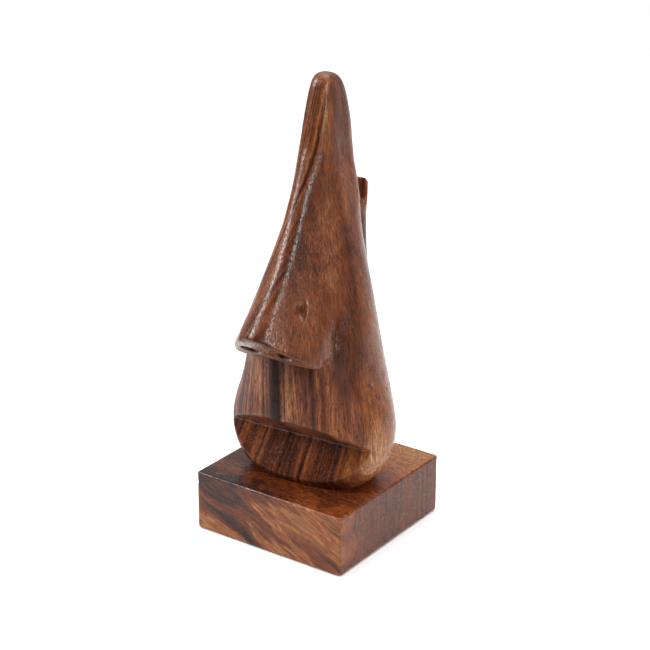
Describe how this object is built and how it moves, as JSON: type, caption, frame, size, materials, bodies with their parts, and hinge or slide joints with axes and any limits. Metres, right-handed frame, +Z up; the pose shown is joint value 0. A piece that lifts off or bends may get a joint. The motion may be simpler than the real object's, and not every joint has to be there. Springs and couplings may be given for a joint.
{
  "type": "eyeglasses display stand",
  "caption": "Carved wooden nose-and-mouth head on a square wooden block, holding one pair of eyeglasses by its bridge, with a slotted hook behind for the temples.",
  "frame": {"origin": "middle of the block's square underside", "axes": "+Z up through the crown; -Y is the block's front, where the nose points; +X is the head's left, to the right of a viewer who faces the nose"},
  "size_m": [0.06, 0.0742, 0.1588],
  "materials": {
    "head_wood": "hand-sanded, oiled and waxed rosewood, satin",
    "block_wood": "flat-sanded, polished rosewood",
    "screw_steel": "zinc-plated steel"
  },
  "bodies": {
    "root": {"nose_head": "head_wood", "base_block": "block_wood", "base_screw": "screw_steel"}
  },
  "joints": []
}
